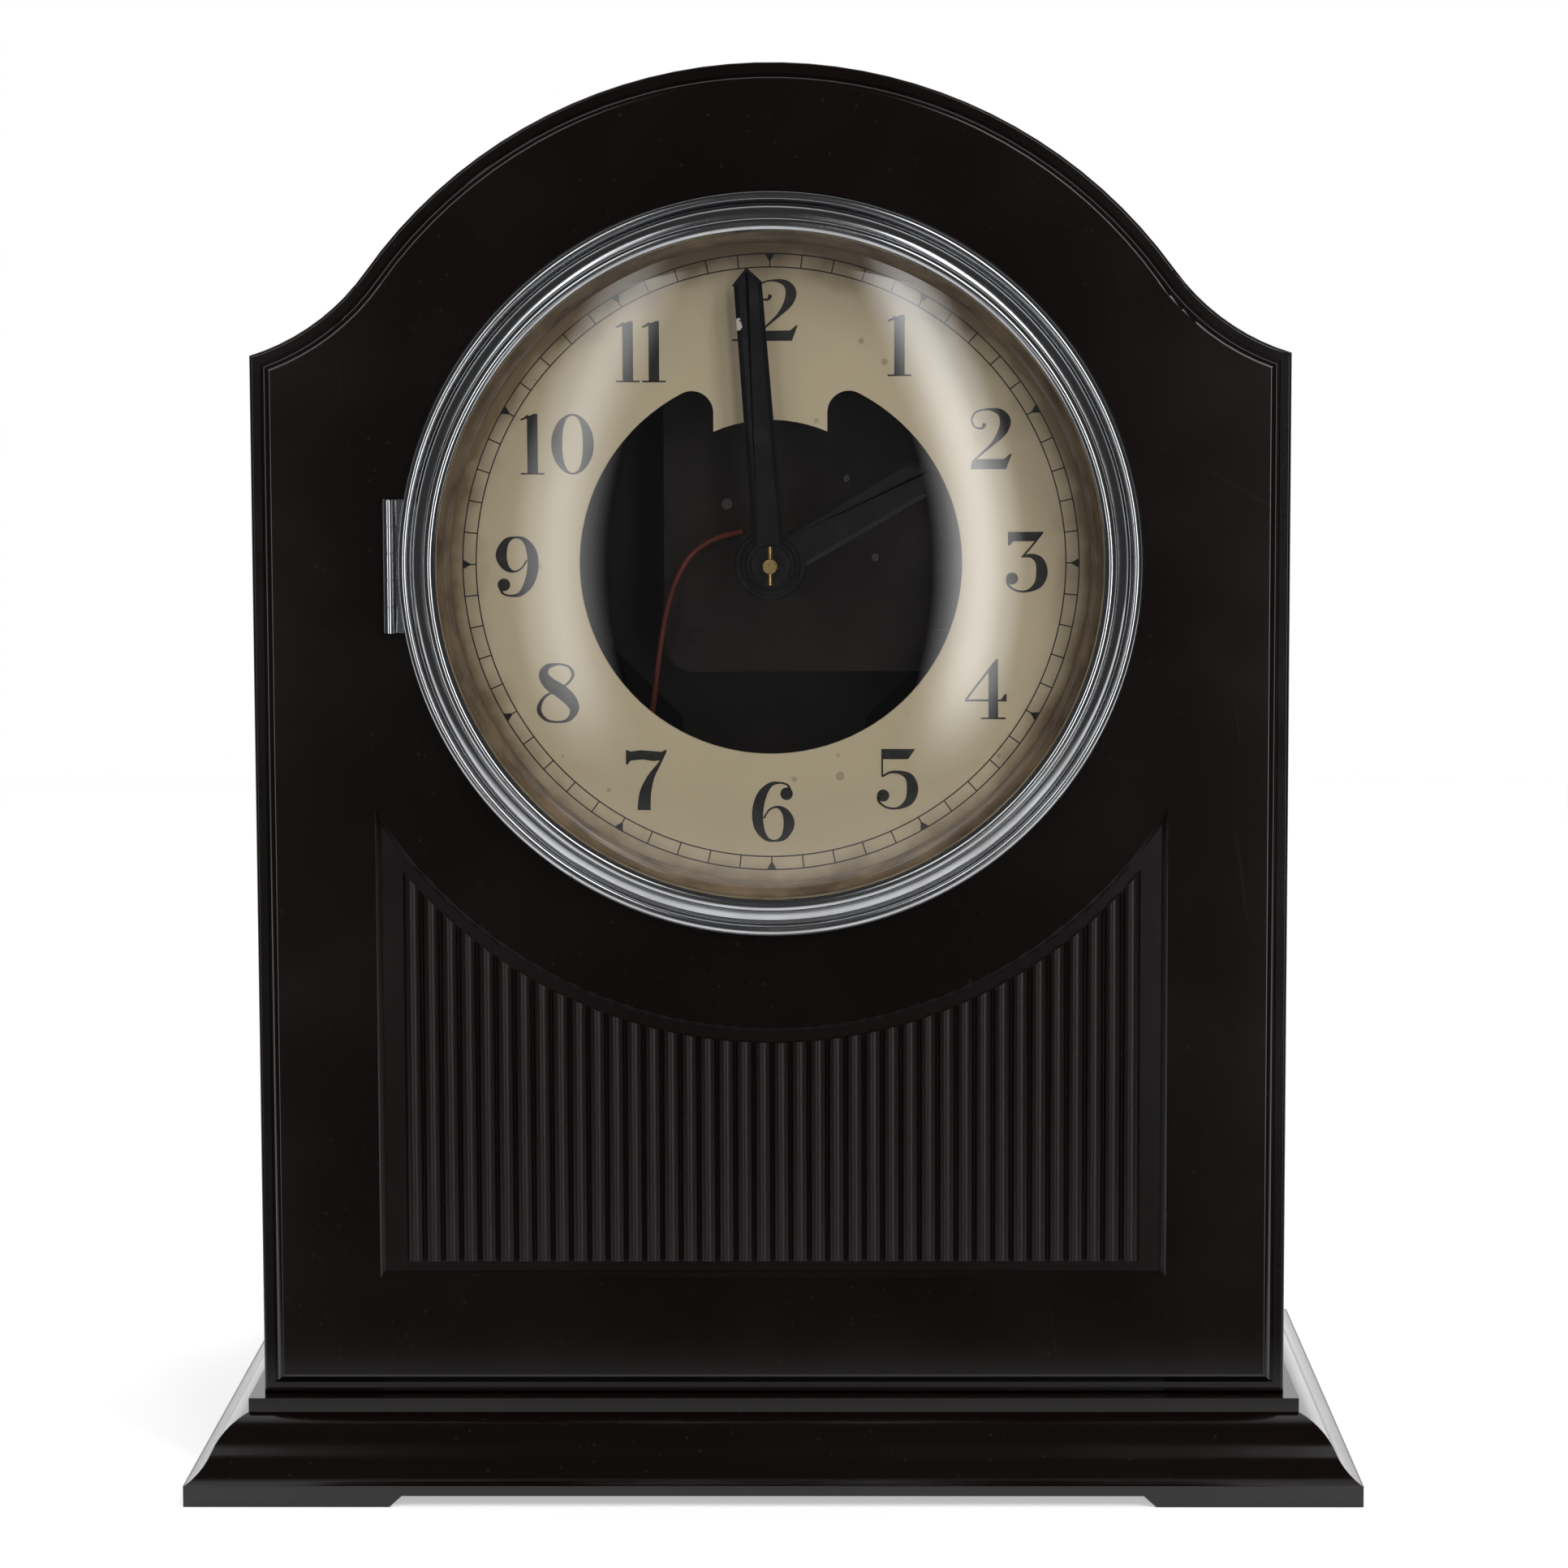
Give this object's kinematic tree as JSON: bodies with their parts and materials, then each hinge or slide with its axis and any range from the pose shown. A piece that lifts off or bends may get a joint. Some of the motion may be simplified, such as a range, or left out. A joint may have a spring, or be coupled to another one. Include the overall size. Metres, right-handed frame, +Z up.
{
  "type": "mantel clock",
  "caption": "Arch-top mantel clock: moulded case on an ogee plinth, reeded panel, hinged bezel with domed glass, open-centre dial, and a battery pendulum movement behind a rear door.",
  "frame": {"origin": "middle of the plinth's footprint, on the surface that the clock stands on", "axes": "+X to the right of the dial, +Y to the back, +Z up"},
  "size_m": [0.1976, 0.1354, 0.24],
  "materials": {
    "phenolic": "polished moulded phenolic",
    "chrome": "plated",
    "clear_glass": "clear domed glass",
    "sight_brown": "brown lacquer",
    "dial_cream": "aged cream enamel",
    "hand_blue": "blued steel",
    "brass": "lacquered brass",
    "bronzed": "bronzed brass plate",
    "steel": "plain steel",
    "bracket_iron": "black japanned",
    "bobbin_black": "moulded",
    "winding_green": "silk-covered winding",
    "cell_wrap": "plain card wrap",
    "lead_red": "rubber-covered",
    "lead_black": "rubber-covered"
  },
  "bodies": {
    "case": {"case_shell": "phenolic", "plinth": "phenolic", "case_screws": "steel", "bezel_hinge_case_leaf": "chrome", "bezel_hinge_pin": "chrome", "bezel_hinge_screws": "chrome", "dial_plate": "dial_cream", "dial_screws": "steel", "front_plate": "bronzed", "stand_plate": "bronzed", "plate_pillars": "brass", "pillar_screws": "bronzed", "plate_studs": "steel", "deck_screws": "steel", "terminal_screws": "bronzed", "suspension_cock": "bronzed", "suspension_spring": "steel", "magnet_bar": "steel", "magnet_bracket_left": "bracket_iron", "magnet_bracket_right": "bracket_iron", "battery_cell": "cell_wrap", "battery_terminals": "brass", "battery_clip": "steel", "red_lead": "lead_red", "black_lead": "lead_black", "door_hinge_case_leaves": "steel", "door_hinge_pins": "steel", "door_hinge_screws": "steel"},
    "bezel_door": {"bezel_ring": "chrome", "bezel_glass": "clear_glass", "sight_ring": "sight_brown", "bezel_hinge_leaf": "chrome"},
    "minute_hand_group": {"minute_hand": "hand_blue", "cannon_pinion": "brass"},
    "hour_hand_group": {"hour_hand": "hand_blue", "hour_wheel": "brass"},
    "minute_wheel_group": {"minute_wheel": "brass"},
    "centre_group": {"centre_arbor": "brass", "centre_wheel": "brass", "hand_washer": "hand_blue", "taper_pin": "brass"},
    "third_group": {"third_pinion": "steel", "third_wheel": "brass"},
    "ratchet_group": {"ratchet_pinion": "steel", "ratchet_wheel": "brass"},
    "pendulum": {"suspension_chops": "brass", "pendulum_rod": "steel", "contact_pin": "brass", "coil_strap": "steel", "coil_bobbin": "bobbin_black", "coil_winding": "winding_green"},
    "rating": {"rating_nut": "brass"},
    "fork": {"contact_fork": "brass"},
    "pawl": {"drive_pawl": "steel"},
    "click": {"stop_click": "steel"},
    "rear_door": {"back_door": "phenolic", "door_hinge_leaves": "steel", "pull_knob": "phenolic", "catch_spring": "steel"}
  },
  "joints": [
    {"name": "bezel_open", "type": "hinge", "parent": "case", "child": "bezel_door", "pos_m": [-0.06345, -0.0563, 0.157], "axis": [0, 0, -1], "range_deg": [0, 110]},
    {"name": "rear_door_open", "type": "hinge", "parent": "case", "child": "rear_door", "pos_m": [0.0824, 0.0614, 0.105], "axis": [0, 0, -1], "range_deg": [0, 110]},
    {"name": "minute_hand_turn", "type": "hinge", "parent": "case", "child": "minute_hand_group", "pos_m": [0, -0.05, 0.157], "axis": [0, 1, 0], "continuous": true},
    {"name": "hour_hand_turn", "type": "hinge", "parent": "case", "child": "hour_hand_group", "pos_m": [0, -0.05, 0.157], "axis": [0, 1, 0], "continuous": true},
    {"name": "minute_wheel_turn", "type": "hinge", "parent": "case", "child": "minute_wheel_group", "pos_m": [-0.00771, -0.027, 0.16619], "axis": [0, 1, 0], "continuous": true},
    {"name": "ratchet_turn", "type": "hinge", "parent": "case", "child": "ratchet_group", "pos_m": [0.01268, -0.018, 0.17053], "axis": [0, 1, 0], "continuous": true},
    {"name": "third_turn", "type": "hinge", "parent": "case", "child": "third_group", "pos_m": [0.0176, -0.022, 0.157], "axis": [0, 1, 0], "continuous": true},
    {"name": "centre_turn", "type": "hinge", "parent": "case", "child": "centre_group", "pos_m": [0, -0.025, 0.157], "axis": [0, 1, 0], "continuous": true},
    {"name": "pendulum_swing", "type": "hinge", "parent": "case", "child": "pendulum", "pos_m": [0, 0.008, 0.2], "axis": [0, 1, 0], "range_deg": [-6, 6]},
    {"name": "fork_turn", "type": "hinge", "parent": "case", "child": "fork", "pos_m": [0, -0.005, 0.18], "axis": [0, 1, 0], "range_deg": [-12.5, 12.5]},
    {"name": "pawl_turn", "type": "hinge", "parent": "fork", "child": "pawl", "pos_m": [0, -0.018, 0.183], "axis": [0, 1, 0], "range_deg": [-12.5, 12.5]},
    {"name": "click_lift", "type": "hinge", "parent": "case", "child": "click", "pos_m": [0.02668, -0.018, 0.18303], "axis": [0, -1, 0], "range_deg": [0, 10]},
    {"name": "rating_nut_turn", "type": "hinge", "parent": "pendulum", "child": "rating", "pos_m": [0, 0.008, 0.086], "axis": [0, 0, 1], "continuous": true}
  ],
  "couplings": [
    {"joint": "hour_hand_turn", "follows": "minute_hand_turn", "ratio": 0.083333},
    {"joint": "minute_wheel_turn", "follows": "minute_hand_turn", "ratio": -0.33333},
    {"joint": "third_turn", "follows": "ratchet_turn", "ratio": -0.125},
    {"joint": "centre_turn", "follows": "ratchet_turn", "ratio": 0.0125},
    {"joint": "fork_turn", "follows": "pendulum_swing", "ratio": 2},
    {"joint": "pawl_turn", "follows": "pendulum_swing", "ratio": -2}
  ]
}
